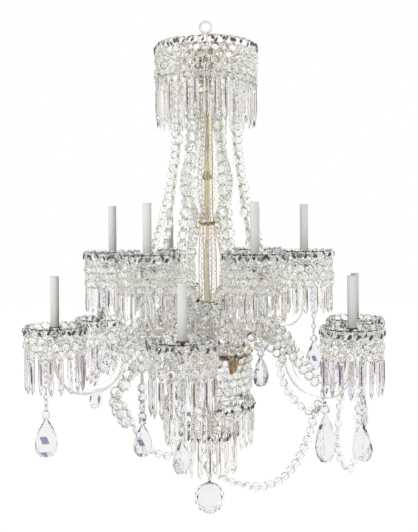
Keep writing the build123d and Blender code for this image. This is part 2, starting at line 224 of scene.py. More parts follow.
# materials: crystals, with the grain of their patches, "facets" as (grain, depth), and "lines" as
# the width of the painted reflection lines in a prism's tint
finishes = {
    "cutCrystal": {"tint": (1.0, 0.997, 0.968), "ior": 1.36, "patch": 60, "facets": (170, 0.0003)},
    "chainCrystal": {"tint": (0.95, 0.947, 0.93), "ior": 1.46, "patch": 60,
                     "facets": (170, 0.0005)},
    # warmCrystal's warmer tint is a painted reflection of the gilt parts round the hub
    "warmCrystal": {"tint": (1.0, 0.975, 0.90), "ior": 1.41, "patch": 60, "facets": (170, 0.0003)},
    "prismCrystal": {"tint": (1.0, 0.997, 0.972), "ior": 1.41, "patch": 60, "lines": 0.018},
    "smokyPrism": {"tint": (0.985, 0.98, 0.98), "ior": 1.45, "patch": 60, "lines": 0.028},
    # pearCrystal's grey tint darkens the drops and the ball all over, painted shade for the grey
    # shading of clear crystal
    "pearCrystal": {"tint": (0.86, 0.865, 0.88), "ior": 1.55, "patch": 35},
    "blownGlass": {"tint": (0.992, 0.994, 0.985), "ior": 1.43, "patch": 25, "rough": 0.02},
    # the next three tint painted reflections: brown and violet prism lines, dark glints and lines,
    # and violet drop facets
    "brownCrystal": {"tint": (0.30, 0.23, 0.15), "ior": 1.5, "patch": 120},
    "darkGlint": {"tint": (0.08, 0.055, 0.11), "ior": 1.55, "patch": 90},
    "violetGlint": {"tint": (0.08, 0.06, 0.16), "ior": 1.55, "patch": 90},
}
metals = {
    "giltBrass": {"light": (0.66, 0.50, 0.29), "dark": (0.33, 0.23, 0.12),
                  "rough": (0.25, 0.5), "patch": 45},
    "speckledBrass": {"light": (0.50, 0.36, 0.19), "dark": (0.05, 0.03, 0.02),
                      "rough": (0.25, 0.5), "patch": 110},
    "silveredBrass": {"light": (0.86, 0.85, 0.81), "dark": (0.62, 0.60, 0.54),
                      "rough": (0.2, 0.45), "patch": 45},
    "paleBronze": {"light": (0.46, 0.35, 0.24), "dark": (0.22, 0.15, 0.10),
                   "rough": (0.3, 0.5), "patch": 90},
    "darkBronze": {"light": (0.20, 0.14, 0.13), "dark": (0.06, 0.04, 0.045),
                   "rough": (0.3, 0.55), "patch": 60},
    "goldLead": {"light": (0.88, 0.73, 0.44), "dark": (0.66, 0.48, 0.24),
                 "rough": (0.25, 0.45), "patch": 30},
}
clouding = {"paler": 0.012, "duller": 0.992, "from": 0.35, "to": 0.65}
paintedPrismLines = {    # painted reflections: fine upright lines of violet, brown and blue in the prisms' tint, for the colours that a long prism reflects and splits
    "grain": 240, "along": 0.02,
    "colours": ((0.32, (0.10, 0.09, 0.24)), (0.42, (0.42, 0.38, 0.34)),
                (0.60, (0.46, 0.34, 0.20)), (0.70, (0.34, 0.40, 0.82))),
}
card = {"grain": 260, "along": 0.06, "rough": 0.55,
        "tones": [(0.3, (0.74, 0.74, 0.70)), (0.65, (0.82, 0.82, 0.79))]}
plastic = {"grain": 200, "rough": 0.4,
           "tones": [(0.3, (0.02, 0.018, 0.02)), (0.7, (0.06, 0.05, 0.05))]}
strands = {"count": 9, "swing": 0.5, "rough": 0.3}    # of two metals on one piece


def noiseOf(tree, scale, detail=3, along=None):
    # a fine grain in the piece's own place, drawn out upright where along is small
    place = placeIn(tree)
    if along:
        place = addNode(tree, "Mapping", {"Scale": (1, 1, along), "Vector": place}).outputs[0]
    grain = {"Scale": scale, "Detail": detail, "Vector": place}
    return addNode(tree, "TexNoise", grain).outputs[0]


def principled(name):
    material = bpy.data.materials.new(name)
    tree = clearNodes(material)
    body = addNode(tree, "BsdfPrincipled")
    addNode(tree, "OutputMaterial", {0: body.outputs[0]})
    return material, tree, body


def paintedStreaks(tree, plain, wide):
    # painted reflections: coloured lines multiplied into the glass tint
    stops = []
    for middle, colour in paintedPrismLines["colours"]:
        stops += [(middle - wide, (1, 1, 1)), (middle, colour), (middle + wide, (1, 1, 1))]
    grain = noiseOf(tree, paintedPrismLines["grain"], 1, paintedPrismLines["along"])
    return mixed(tree, 1, plain, ramp(tree, grain, stops), "MULTIPLY")


def fineFacets(tree, size, depth):
    # small flats between the large ones
    cells = addNode(tree, "TexVoronoi", {"Scale": size, "Vector": placeIn(tree)})
    flats = {"Strength": 1, "Distance": depth, "Height": cells.outputs["Distance"]}
    return addNode(tree, "Bump", flats).outputs[0]


def glassFinish(name):
    look = finishes[name]
    material, tree, body = principled(name)
    if "facets" in look:
        fill(tree, body, {"Normal": fineFacets(tree, *look["facets"])})
    paler = tuple(min(1, c + clouding["paler"]) for c in look["tint"])
    duller = tuple(c * clouding["duller"] for c in look["tint"])
    tint = ramp(tree, noiseOf(tree, look["patch"]),
                [(clouding["from"], duller), (clouding["to"], paler)])
    # painted reflections in the prisms' tint
    if "lines" in look:
        tint = paintedStreaks(tree, tint, look["lines"])
    fill(tree, body, {"Transmission Weight": 1, "IOR": look["ior"], "Base Color": tint,
                      "Roughness": look.get("rough", 0)})
    return material


def metalTone(tree, name):
    look = metals[name]
    noise = noiseOf(tree, look["patch"], 5)
    return noise, ramp(tree, noise, [(0.3, look["dark"]), (0.6, look["light"])])


def metalFinish(name):
    material, tree, body = principled(name)
    noise, tone = metalTone(tree, name)
    low, high = metals[name]["rough"]
    rough = calc(tree, "ADD", calc(tree, "MULTIPLY", noise, high - low), low)
    fill(tree, body, {"Metallic": 1, "Base Color": tone, "Roughness": rough})
    return material


def matteFinish(name, look, detail, along=None):
    material, tree, body = principled(name)
    tone = ramp(tree, noiseOf(tree, look["grain"], detail, along), look["tones"])
    fill(tree, body, {"Base Color": tone, "Roughness": look["rough"]})
    return material


def heightBlend(name, top, low, share, band="giltBrass"):
    # silvered brass, another metal between two heights, with fine upright strands of both
    material, tree, body = principled(name)
    x, y, z = addNode(tree, "SeparateXYZ", {0: placeIn(tree)}).outputs
    inside = calc(tree, "MULTIPLY", calc(tree, "LESS_THAN", z, top),
                  calc(tree, "GREATER_THAN", z, low))
    heading = calc(tree, "ARCTAN2", y, x)
    wave = calc(tree, "SINE", calc(tree, "MULTIPLY", heading, strands["count"]))
    strand = calc(tree, "ADD", calc(tree, "MULTIPLY", wave, strands["swing"]), share)
    blend = calc(tree, "MULTIPLY", inside, strand, clamp=True)
    _, silver = metalTone(tree, "silveredBrass")
    _, other = metalTone(tree, band)
    fill(tree, body, {"Metallic": 1, "Base Color": mixed(tree, blend, silver, other),
                      "Roughness": strands["rough"]})
    return material


materials = {name: glassFinish(name) for name in finishes}
materials.update({name: metalFinish(name) for name in metals if name != "speckledBrass"})
materials["sleeveCard"] = matteFinish("sleeveCard", card, 2, card["along"])
materials["holderPlastic"] = matteFinish("holderPlastic", plastic, 3)
materials["rodBrass"] = heightBlend("rodBrass", -0.20, -0.76, 0.08)
materials["plateBrass"] = heightBlend("plateBrass", -0.8855, -2, 1, "speckledBrass")
materials["galleryBrass"] = heightBlend("galleryBrass", 0, -0.1535, 1, "darkBronze")
slotOf = {name: "cut_crystal" for name in finishes}
slotOf.update({
    "blownGlass": "blown_glass", "giltBrass": "gilt_brass", "silveredBrass": "silvered_brass",
    "paleBronze": "gilt_brass", "darkBronze": "dark_bronze", "goldLead": "lamp_wire",
    "sleeveCard": "candle_sleeve", "holderPlastic": "lampholder",
})
print("materials ready")


# modelling helpers
smallest = {"radius": 0.00001, "gap": 0.00002}    # of a closed end, and between merged corners


def deselect():
    bpy.ops.object.select_all(action="DESELECT")


def select(piece):
    deselect()
    piece.select_set(True)
    bpy.context.view_layer.objects.active = piece


def editMode(kind, everything=True):
    bpy.ops.object.mode_set(mode="EDIT")
    bpy.ops.mesh.select_mode(type=kind)
    if everything:
        bpy.ops.mesh.select_all(action="SELECT")


def objectMode():
    bpy.ops.object.mode_set(mode="OBJECT")


def settle(piece, name):
    # merges doubles, turns the faces outwards and leaves the place in the mesh
    select(piece)
    bpy.ops.object.transform_apply(location=True, rotation=True, scale=True)
    bpy.ops.object.mode_set(mode="EDIT")
    bpy.ops.mesh.select_all(action="SELECT")
    bpy.ops.mesh.remove_doubles(threshold=smallest["gap"])
    bpy.ops.mesh.normals_make_consistent(inside=False)
    objectMode()
    piece.name = name
    piece.data.name = name
    return piece


def turned(name, levels, sides, flat=1.0, twist=False, start=0.0):
    # drawn as a circle at the first (radius, height), then pulled and scaled level by level
    deselect()
    radius, height = levels[0]
    bpy.ops.mesh.primitive_circle_add(vertices=sides, radius=max(radius, smallest["radius"]),
                                      fill_type="NGON", location=(0, 0, height),
                                      rotation=(0, 0, start))
    piece = bpy.context.object
    editMode("FACE")
    for (before, low), (after, high) in zip(levels, levels[1:]):
        move = {"value": (0, 0, high - low)}
        bpy.ops.mesh.extrude_region_move(TRANSFORM_OT_translate=move)
        size = max(after, smallest["radius"]) / max(before, smallest["radius"])
        bpy.ops.transform.resize(value=(size, size, 1), center_override=(0, 0, high))
        if twist:
            bpy.ops.transform.rotate(value=math.pi / sides, orient_axis="Z",
                                     center_override=(0, 0, high))
    if twist:
        bpy.ops.mesh.select_all(action="SELECT")
        bpy.ops.mesh.quads_convert_to_tris()
    objectMode()
    piece.scale = (flat, 1, 1)
    return settle(piece, name)


def turnedRing(name, levels, sides):
    # the same for a closed profile that goes round an opening
    deselect()
    radius, height = levels[0]
    bpy.ops.mesh.primitive_circle_add(vertices=sides, radius=radius, fill_type="NOTHING",
                                      location=(0, 0, height))
    piece = bpy.context.object
    editMode("EDGE")
    for (before, low), (after, high) in zip(levels, [*levels[1:], levels[0]]):
        move = {"value": (0, 0, high - low)}
        bpy.ops.mesh.extrude_region_move(TRANSFORM_OT_translate=move)
        size = after / before
        bpy.ops.transform.resize(value=(size, size, 1), center_override=(0, 0, high))
    objectMode()
    return settle(piece, name)


def fluted(piece, count, depth, chosen):
    # every second column of a turned piece drawn in, at the chosen corners
    for vertex in piece.data.vertices:
        step = round(math.atan2(vertex.co.y, vertex.co.x) / (math.pi / count))
        vertex.select = step % 2 == 1 and chosen(vertex.co)
    select(piece)
    editMode("VERT", everything=False)
    bpy.ops.transform.resize(value=(depth, depth, 1), center_override=(0, 0, 0))
    objectMode()
    return piece


def copyTo(master, place):
    twin = master.copy()
    twin.data = master.data.copy()
    twin.data.transform(place)
    bpy.context.collection.objects.link(twin)
    return twin


def joined(name, parts):
    deselect()
    for part in parts:
        part.select_set(True)
    bpy.context.view_layer.objects.active = parts[0]
    bpy.ops.object.join()
    piece = bpy.context.object
    piece.name = name
    piece.data.name = name
    return piece


def finished(piece, finish, body="chandelier", replaces=()):
    piece.data.materials.clear()
    piece.data.materials.append(materials[finish])
    if replaces:
        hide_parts(*replaces)
    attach(piece, body)
    return piece


def smooth(piece, degrees):
    select(piece)
    bpy.ops.object.shade_smooth_by_angle(angle=math.radians(degrees))
    return piece


def bevelled(piece, width):
    edge = piece.modifiers.new("edge", "BEVEL")
    edge.width = width
    edge.segments = 1
    edge.limit_method = "ANGLE"
    select(piece)
    bpy.ops.object.modifier_apply(modifier="edge")
    return piece


def outward(angle, radius, height):
    # place of a piece drawn with +X outwards; angles run from the front towards the right
    turn = Matrix.Rotation(math.radians(angle - 90), 4, "Z")
    return turn @ Matrix.Translation((radius, 0, height))


def evenly(count, start=0.0):
    return [start + 360 * i / count for i in range(count)]


# cut shapes that repeat, each drawn once at unit size, profiles as (radius, height)
beadCut = {"sides": 8, "radius": 0.54, "depth": 0.22, "inset": 0.24, "rise": 0.12}
spearCut = {"sides": 6, "flat": 0.62,
            "levels": [(0.0, -1.0), (0.26, -0.90), (0.5, -0.80), (0.44, -0.12), (0.2, 0.0)]}
pearCut = {"sides": 12, "flat": 0.42,
           "levels": [(0.0, -1.0), (0.25, -0.965), (0.42, -0.85), (0.5, -0.66), (0.46, -0.47),
                      (0.33, -0.27), (0.18, -0.11), (0.07, 0.0)]}


def octagonBead():
    # flat octagon, its faces towards +X and -X, cut down to a smaller table on each side
    deselect()
    bpy.ops.mesh.primitive_cylinder_add(vertices=beadCut["sides"], radius=beadCut["radius"],
                                        depth=beadCut["depth"],
                                        rotation=(math.pi / beadCut["sides"], math.pi / 2, 0))
    drawn = bpy.context.object
    bpy.ops.object.transform_apply(rotation=True)
    for face in drawn.data.polygons:
        face.select = abs(face.normal.x) > 0.9
    editMode("FACE", everything=False)
    bpy.ops.mesh.inset(thickness=beadCut["inset"], depth=beadCut["rise"], use_individual=True)
    objectMode()
    return settle(drawn, "octagonBead")


bead = octagonBead()
spear = turned("spearPrism", spearCut["levels"], spearCut["sides"], flat=spearCut["flat"])
pear = turned("pearDrop", pearCut["levels"], pearCut["sides"], flat=pearCut["flat"], twist=True,
              start=math.pi / pearCut["sides"])
masters = [bead, spear, pear]
print("cut shapes drawn")


def strung(master, place, tall, wide, lean=0.0):
    # a bead or drop at a place, turned about its string
    turn = Matrix.Rotation(math.radians(lean), 4, "Z")
    return copyTo(master, place @ turn @ Matrix.Diagonal((wide, wide, tall, 1)))


# arms' angles and candles' places, from the swing joints under the pans
pinPlace = {"out": 0.024, "down": 0.050}    # from a candle's axis, and from a pan's rim


def jointOf(node):
    return next(joint for joint in frame["joints"] if joint["child"] == node)


def candlesOf(tier):
    places = []
    for i in range(1, 7):
        x, y, z = jointOf(f"{tier}_pear_drop_{i}")["pos_m"]
        angle = math.degrees(math.atan2(x, -y))
        places.append((angle, math.hypot(x, y) - pinPlace["out"], z + pinPlace["down"]))
    return places


candles = {tier: candlesOf(tier) for tier in ("upper", "lower")}
upperAngles = [angle for angle, _, _ in candles["upper"]]
lowerAngles = [angle for angle, _, _ in candles["lower"]]
rng = random.Random(7)

# strings of beads
thread = {"radius": 0.00055, "roundness": 1, "steps": 6}
beadSpread = (0.94, 1.04)    # of a bead's width


def beadString(points, size, pitch, spread, face=None):
    # beads at even steps along straight runs between points, their flat side towards a heading
    beads, left = [], pitch / 2
    for start, end in zip(points, points[1:]):
        run = end - start
        ahead = run.normalized()
        while left <= run.length:
            spot = start + ahead * left
            lean = run.to_track_quat("Z", "X").to_matrix()
            if face is not None:
                flat = (face - face.project(run)).normalized()
                lean = Matrix((flat, ahead.cross(flat), ahead)).transposed()
            place = Matrix.Translation(spot) @ lean.to_4x4()
            wide = size * rng.uniform(*beadSpread)
            beads.append(strung(bead, place, size, wide, rng.uniform(-spread, spread)))
            left += pitch
        left -= run.length
    return beads


def smoothCurve(points, steps=24):
    # the even curve that runs near the given points
    line = bpy.data.curves.new("line", "CURVE")
    line.dimensions = "3D"
    line.twist_mode = "Z_UP"
    spline = line.splines.new("NURBS")
    spline.points.add(len(points) - 1)
    for point, place in zip(spline.points, points):
        point.co = (*place, 1)
    spline.order_u = 3
    spline.use_endpoint_u = True
    spline.resolution_u = steps
    guide = bpy.data.objects.new("line", line)
    bpy.context.collection.objects.link(guide)
    return guide


def smoothLine(points, steps=8):
    guide = smoothCurve(points, steps)
    mesh = bpy.data.meshes.new_from_object(guide)
    spots = [vertex.co.copy() for vertex in mesh.vertices]
    bpy.data.objects.remove(guide)
    bpy.data.meshes.remove(mesh)
    return spots


def threadAlong(points):
    # the wire that beads are strung on
    line = smoothCurve(points, thread["steps"])
    line.data.bevel_depth = thread["radius"]
    line.data.bevel_resolution = thread["roundness"]
    line.data.use_fill_caps = True
    select(line)
    bpy.ops.object.convert(target="MESH")
    return bpy.context.object


def radial(angle):
    return outward(angle, 0, 0).to_3x3() @ Vector((1, 0, 0))


def sideways(angle):
    return outward(angle, 0, 0).to_3x3() @ Vector((0, 1, 0))


def inPlane(angle, route, aside=0.0):
    # route of (distance from the stem, height) in the upright plane at an angle
    place = outward(angle, 0, 0)
    return [place @ Vector((radius, aside, height)) for radius, height in route]


# nets and fringes of the pans
panNet = {"radius": 0.0725, "strings": 18, "rimHeight": -0.011, "rimBead": 0.0245, "bead": 0.0215}
panNets = {
    "upper": {**panNet, "rows": 4, "firstRow": -0.031, "rowStep": 0.0185, "prismTop": -0.093,
              "prismLength": 0.075, "prismWidth": 0.0155},
    "lower": {**panNet, "rows": 3, "firstRow": -0.030, "rowStep": 0.0180, "prismTop": -0.072,
              # "edge" is the width of the painted reflection lines on the lower prisms
              "prismLength": 0.095, "prismWidth": 0.0160, "edge": 0.0042, "edges": 0.6},
}
looseness = {"rim": 14, "bead": 30, "prism": 20, "shift": 1.5}    # degrees either way
netInset = 0.001
paintedGlint = {    # painted reflections: small dark glass pieces between the rim beads, for the dark glints that the beads reflect, placed in shares of the pitch
    "places": ((0.3,), (0.5,), (0.25, 0.7)), "out": 0.007, "lean": 35, "turn": 30, "shift": 2,
    "drop": (-0.006, 0.005), "tall": (0.008, 0.014), "wide": (0.004, 0.0075),
}
prismReflectionLine = {    # painted reflections: thin dark, violet and brown slivers on the outside of prisms, for the coloured lines that prisms reflect, in shares of a prism's length and width
    "share": 0.34, "width": 0.0026, "long": (0.35, 0.75), "down": (0.05, 0.2), "aside": 0.25,
    "out": 0.32,
}


def ringOf(centre, radius, turn, height):
    place = Matrix.Translation((radius, 0, height))
    return centre @ Matrix.Rotation(math.radians(turn), 4, "Z") @ place


def paintedRimGlint(centre, radius, turn, height):
    # one painted reflection: a small dark piece just outside the rim
    lean = Matrix.Rotation(math.radians(rng.choice((-paintedGlint["lean"], paintedGlint["lean"]))), 4, "X")
    shift = rng.uniform(-paintedGlint["shift"], paintedGlint["shift"])
    place = ringOf(centre, radius, turn + shift, height + rng.uniform(*paintedGlint["drop"])) @ lean
    tall, wide = rng.uniform(*paintedGlint["tall"]), rng.uniform(*paintedGlint["wide"])
    return strung(bead, place, tall, wide, rng.uniform(-paintedGlint["turn"], paintedGlint["turn"]))


def reflectionLineOn(top, shape):
    # a painted reflection: a narrow coloured sliver on the outside of a prism
    down = -shape["prismLength"] * rng.uniform(*prismReflectionLine["down"])
    aside = rng.uniform(-prismReflectionLine["aside"], prismReflectionLine["aside"]) * shape["prismWidth"]
    place = top @ Matrix.Translation((prismReflectionLine["out"] * shape["prismWidth"], aside, down))
    wide = shape.get("edge", prismReflectionLine["width"])
    return strung(spear, place, shape["prismLength"] * rng.uniform(*prismReflectionLine["long"]), wide)


def newParts():
    return {"net": [], "prisms": [], "dark": [], "violet": [], "brown": []}


def loosely(master, place, tall, wide, kind):
    return strung(master, place, tall, wide, rng.uniform(-looseness[kind], looseness[kind]))


def dressRing(parts, shape, centre=Matrix.Identity(4)):
    # a row of rim beads with painted dark glints, a staggered net and prisms, some with painted
    # reflection lines, round one ring
    pitch = 360 / shape["strings"]
    inner = shape["radius"] - netInset
    bareFrom, bareTo = shape.get("bare", (0, 0))
    for turn in evenly(shape["strings"]):
        bare = bareFrom < turn < bareTo
        if not bare:
            rim = ringOf(centre, shape["radius"], turn, shape["rimHeight"])
            parts["net"].append(loosely(bead, rim, shape["rimBead"], shape["rimBead"], "rim"))
        # painted reflections between the rim beads
        if shape.get("glints", True):
            for part in rng.choice(paintedGlint["places"]):
                parts["dark"].append(paintedRimGlint(centre, shape["radius"] + paintedGlint["out"],
                                              turn + pitch * part, shape["rimHeight"]))
        for row in range(shape["bareRows"] if bare else 0, shape["rows"]):
            shift = pitch / 2 if row % 2 == 0 else 0
            height = shape["firstRow"] - row * shape["rowStep"]
            spot = ringOf(centre, inner, turn + shift, height)
            parts["net"].append(loosely(bead, spot, shape["bead"], shape["bead"], "bead"))
        shift = rng.uniform(-looseness["shift"], looseness["shift"])
        top = ringOf(centre, inner, turn + pitch / 2 + shift, shape["prismTop"])
        parts["prisms"].append(loosely(spear, top, shape["prismLength"], shape["prismWidth"],
                                       "prism"))
        # some prisms get a painted reflection line in dark, violet and brown glass
        if rng.random() < shape.get("edges", prismReflectionLine["share"]):
            parts[rng.choice(("dark", "violet", "brown"))].append(reflectionLineOn(top, shape))


def finishDress(name, parts, nodes, prismFinish="prismCrystal"):
    # the dark, violet and brown pieces are painted reflections
    rows = (("net", "Net", "cutCrystal"), ("prisms", "Prisms", prismFinish),
            ("dark", "Glints", "darkGlint"), ("violet", "VioletEdges", "violetGlint"),
            ("brown", "BrownEdges", "brownCrystal"))
    for kind, word, finish in rows:
        stoodFor = nodes if kind == "prisms" else ()
        finished(joined(name + word, parts[kind]), finish, replaces=stoodFor)


for tier, prismFinish in (("upper", "prismCrystal"), ("lower", "smokyPrism")):
    parts = newParts()
    for place in candles[tier]:
        dressRing(parts, panNets[tier], outward(*place))
    finishDress(tier + "Pan", parts, [tier + "_pan_prisms"], prismFinish)
print("fringes hung")

# pans, cups, nozzles, sleeves, lampholders and the sleeves' mouths; heights from a pan's rim
pan = {"sides": 36, "scallops": 18, "dent": 0.955, "dentFrom": 0.05, "wall": 0.0035,
       "profile": [(0.013, -0.036), (0.034, -0.030), (0.056, -0.014), (0.075, -0.001)]}
cup = {"sides": 24, "flutes": 12, "depth": 0.93, "fluteFrom": -0.042, "fluteTo": -0.010,
       "profile": [(0.011, -0.046), (0.015, -0.040), (0.021, -0.026), (0.024, -0.010),
                   (0.0125, -0.010)]}
nozzle = {"sides": 24, "smooth": 35,
          "profile": [(0.0115, -0.018), (0.0125, -0.018), (0.0125, -0.012), (0.0150, -0.008),
                      (0.0150, -0.005), (0.0125, -0.002), (0.0115, -0.002)]}
sleeve = {"sides": 28, "smooth": 40,
          "profile": [(0.0110, -0.014), (0.0110, 0.1234), (0.0106, 0.124), (0.0102, 0.124),
                      (0.0099, 0.123), (0.0099, -0.014)]}
holder = {"sides": 20, "smooth": 40,
          "profile": [(0.0094, -0.014), (0.0094, 0.1175), (0.0086, 0.121), (0.0072, 0.121),
                      (0.0068, 0.118), (0.0068, 0.094), (0.002, 0.093), (0.002, -0.014)]}
mouth = {"sides": 28,
         "profile": [(0.0100, 0.1215), (0.0112, 0.1232), (0.0112, 0.1246), (0.0100, 0.1246)]}


def panDish():
    under = [(radius, height - pan["wall"]) for radius, height in reversed(pan["profile"])]
    dish = turnedRing("pan", pan["profile"] + under, pan["sides"])
    return fluted(dish, pan["scallops"], pan["dent"],
                  lambda spot: math.hypot(spot.x, spot.y) > pan["dentFrom"])


def cupGlass():
    glass = turned("cup", cup["profile"], cup["sides"])
    return fluted(glass, cup["flutes"], cup["depth"],
                  lambda spot: cup["fluteFrom"] <= spot.z <= cup["fluteTo"])


def tubeOf(name, shape):
    tube = turnedRing(name, shape["profile"], shape["sides"])
    return smooth(tube, shape["smooth"]) if "smooth" in shape else tube


candleParts = [
    ("Pans", panDish(), "blownGlass", "{}_pans"),
    ("Cups", cupGlass(), "cutCrystal", "candle_cups"),
    ("Nozzles", tubeOf("nozzle", nozzle), "darkBronze", None),
    ("Sleeves", tubeOf("sleeve", sleeve), "sleeveCard", "{}_sleeves"),
    ("Holders", tubeOf("holder", holder), "holderPlastic", "lampholders"),
    ("Mouths", tubeOf("mouth", mouth), "sleeveCard", None),
]
for tier in candles:
    for word, master, finish, node in candleParts:
        row = joined(tier + word, [copyTo(master, outward(*place)) for place in candles[tier]])
        finished(row, finish, replaces=[node.format(tier)] if node else ())
masters += [master for _, master, _, _ in candleParts]
print("candles stand")

# twisted glass arms: a straight ribbed cane bent along each arm's line
armShape = {
    "ribs": 7, "thick": 0.0130, "groove": 0.84, "step": 0.008, "turn": 17, "smooth": 60,
    # distance from the stem, height, and share of the arm's sag
    "upper": [(0.060, -0.757, 0), (0.060, -0.702, 0), (0.150, -0.737, 0), (0.172, -0.810, 0),
              (0.264, -0.810, 0), (0.264, -0.650, 0)],
    "lower": [(0.078, -0.885, 0), (0.078, -0.807, 0), (0.232, -0.844, 0.5), (0.262, -0.970, 1),
              (0.420, -0.970, 1), (0.420, -0.832, 1)],
}


def ribbedCane(length):
    # a grooved ring drawn along +X a step at a time and turned a little at each step
    deselect()
    bpy.ops.mesh.primitive_circle_add(vertices=2 * armShape["ribs"], radius=armShape["thick"],
                                      fill_type="NGON", rotation=(0, math.pi / 2, 0))
    cane = bpy.context.object
    bpy.ops.object.transform_apply(rotation=True)
    for vertex in cane.data.vertices:
        vertex.select = vertex.index % 2 == 1
    editMode("VERT", everything=False)
    bpy.ops.transform.resize(value=(1, armShape["groove"], armShape["groove"]),
                             center_override=(0, 0, 0))
    bpy.ops.mesh.select_mode(type="FACE")
    bpy.ops.mesh.select_all(action="SELECT")
    steps = round(length / armShape["step"])
    for _ in range(steps):
        move = {"value": (length / steps, 0, 0)}
        bpy.ops.mesh.extrude_region_move(TRANSFORM_OT_translate=move)
        bpy.ops.transform.rotate(value=math.radians(armShape["turn"]), orient_axis="X",
                                 center_override=(0, 0, 0))
    objectMode()
    return settle(cane, "ribbedCane")


def bentAlong(piece, points, name):
    # the piece, straight along +X, carried onto the smooth line near the points
    guide = smoothCurve(points)
    bend = piece.modifiers.new("bend", "CURVE")
    bend.object = guide
    bend.deform_axis = "POS_X"
    select(piece)
    bpy.ops.object.modifier_apply(modifier="bend")
    bpy.data.objects.remove(guide)
    return settle(piece, name)


def lengthOf(points):
    return sum((after - before).length for before, after in zip(points, points[1:]))


def armOf(tier, i, angle, sag):
    line = [(reach, height - share * sag) for reach, height, share in armShape[tier]]
    route = inPlane(angle, line)
    arm = bentAlong(ribbedCane(lengthOf(smoothLine(route, 24))), route, f"{tier}Arm{i}")
    finished(smooth(arm, armShape["smooth"]), "blownGlass", replaces=[f"{tier}_arm_{i}"])


for tier in candles:
    highest = max(rim for _, _, rim in candles[tier])
    for i, (angle, _, rim) in enumerate(candles[tier], 1):
        armOf(tier, i, angle, highest - rim)
print("arms drawn")

# crown
crown = {"radius": 0.1345, "strings": 34, "rimHeight": -0.065, "rimBead": 0.0205, "rows": 5,
         "firstRow": -0.083, "rowStep": 0.0180, "bead": 0.0210, "prismTop": -0.151,
         "prismLength": 0.127, "prismWidth": 0.0165}
crownBand = {"inner": 0.1315, "outer": 0.1355, "top": -0.052, "low": -0.0555}
crownStrut = {"from": (0.012, -0.111), "to": (0.132, -0.057), "wide": 0.006, "thick": 0.004,
              "bevel": 0.0008}
crownBoss = {"sides": 28,
             "profile": [(0.0052, -0.098), (0.012, -0.099), (0.019, -0.104), (0.030, -0.107),
                         (0.032, -0.110), (0.026, -0.116), (0.014, -0.119), (0.012, -0.126),
                         (0.0052, -0.126)]}
tent = {"bead": 0.0115, "pitch": 0.0125, "spread": 60,    # small beads inside the crown
        "up": [(0.126, -0.070), (0.070, -0.094), (0.019, -0.114)], "upTurns": (0, 30),
        "down": [(0.034, -0.090), (0.024, -0.122), (0.012, -0.148)], "downTurns": (12, 30, 48)}
rosette = {"radius": 0.033, "height": -0.060, "count": 16, "length": 0.034, "width": 0.014}


def crownBar():
    start, end = (Vector((reach, 0, height))
                  for reach, height in (crownStrut["from"], crownStrut["to"]))
    deselect()
    bpy.ops.mesh.primitive_cube_add(size=1)
    bar = bpy.context.object
    bar.scale = (crownStrut["thick"], crownStrut["wide"], (end - start).length)
    bar.rotation_euler = (end - start).to_track_quat("Z", "Y").to_euler()
    bar.location = (start + end) / 2
    return bevelled(settle(bar, "bar"), crownStrut["bevel"])


def crownFrame(bar):
    # thin band, six bars down to a turned boss
    inner, outer, top, low = (crownBand[key] for key in ("inner", "outer", "top", "low"))
    band = turnedRing("band", [(inner, top), (outer, top), (outer, low), (inner, low)],
                      2 * crown["strings"])
    bars = [copyTo(bar, outward(angle, 0, 0)) for angle in upperAngles]
    finished(smooth(band, 30), "silveredBrass", replaces=["crown_frame"])
    boss = smooth(turnedRing("boss", crownBoss["profile"], crownBoss["sides"]), 30)
    finished(joined("crownBars", [boss, *bars]), "giltBrass", replaces=["crown_frame"])


def dressCrown():
    parts = newParts()
    dressRing(parts, crown)
    for angle in upperAngles:
        for way in ("up", "down"):
            for turn in tent[way + "Turns"]:
                parts["net"] += beadString(inPlane(angle + turn, tent[way]), tent["bead"],
                                           tent["pitch"], tent["spread"])
    finishDress("crown", parts, ["crown_bead_net", "crown_prisms"])


def crownRosette():
    leaves = []
    for turn in evenly(rosette["count"]):
        top = ringOf(Matrix.Identity(4), rosette["radius"], turn, rosette["height"])
        leaves.append(strung(spear, top, rosette["length"], rosette["width"]))
    finished(joined("crownRosette", leaves), "paleBronze")


masters.append(crownBar())
crownFrame(masters[-1])
dressCrown()
crownRosette()
print("crown dressed")

# basket under the arms; the gold plate shows through the bare part of the second ring
basketRings = [
    {"radius": 0.088, "strings": 16, "rimHeight": -0.760, "rimBead": 0.020, "rows": 1,
     "firstRow": -0.779, "rowStep": 0.019, "bead": 0.018, "prismTop": -0.790,
     "prismLength": 0.070, "prismWidth": 0.012, "glints": False},
    {"radius": 0.113, "strings": 26, "rimHeight": -0.886, "rimBead": 0.025, "rows": 5,
     "firstRow": -0.907, "rowStep": 0.0185, "bead": 0.021, "prismTop": -0.995,
     "prismLength": 0.030, "prismWidth": 0.008, "bare": (286, 318), "bareRows": 2},
    {"radius": 0.1195, "strings": 28, "rimHeight": -1.029, "rimBead": 0.025, "rows": 0,
     "prismTop": -1.040, "prismLength": 0.103, "prismWidth": 0.0165},
    {"radius": 0.0745, "strings": 18, "rimHeight": -1.109, "rimBead": 0.024, "rows": 0,
     "prismTop": -1.120, "prismLength": 0.103, "prismWidth": 0.0165},
]
innerStrings = {"count": 14, "start": 5, "bead": 0.016, "pitch": 0.0175, "spread": 70,
                "route": [(0.106, -1.043), (0.070, -1.102)]}
parts = newParts()
for ring in basketRings:
    dressRing(parts, ring)
for angle in evenly(innerStrings["count"], innerStrings["start"]):
    parts["net"] += beadString(inPlane(angle, innerStrings["route"]), innerStrings["bead"],
                               innerStrings["pitch"], innerStrings["spread"])
finishDress("basket", parts, ["basket_prisms_top", "basket_prisms_middle", "basket_prisms_low"])
print("basket dressed")


# chains down from the crown's struts, garlands on the lower arms, and swags
def strandBeads(angle, route, shape, face, aside=0.0):
    # a string of beads along the smooth line near a route in an arm's plane
    line = smoothLine(inPlane(angle, route, aside))
    return beadString(line, shape["bead"], shape["pitch"], shape["spread"], face(angle))


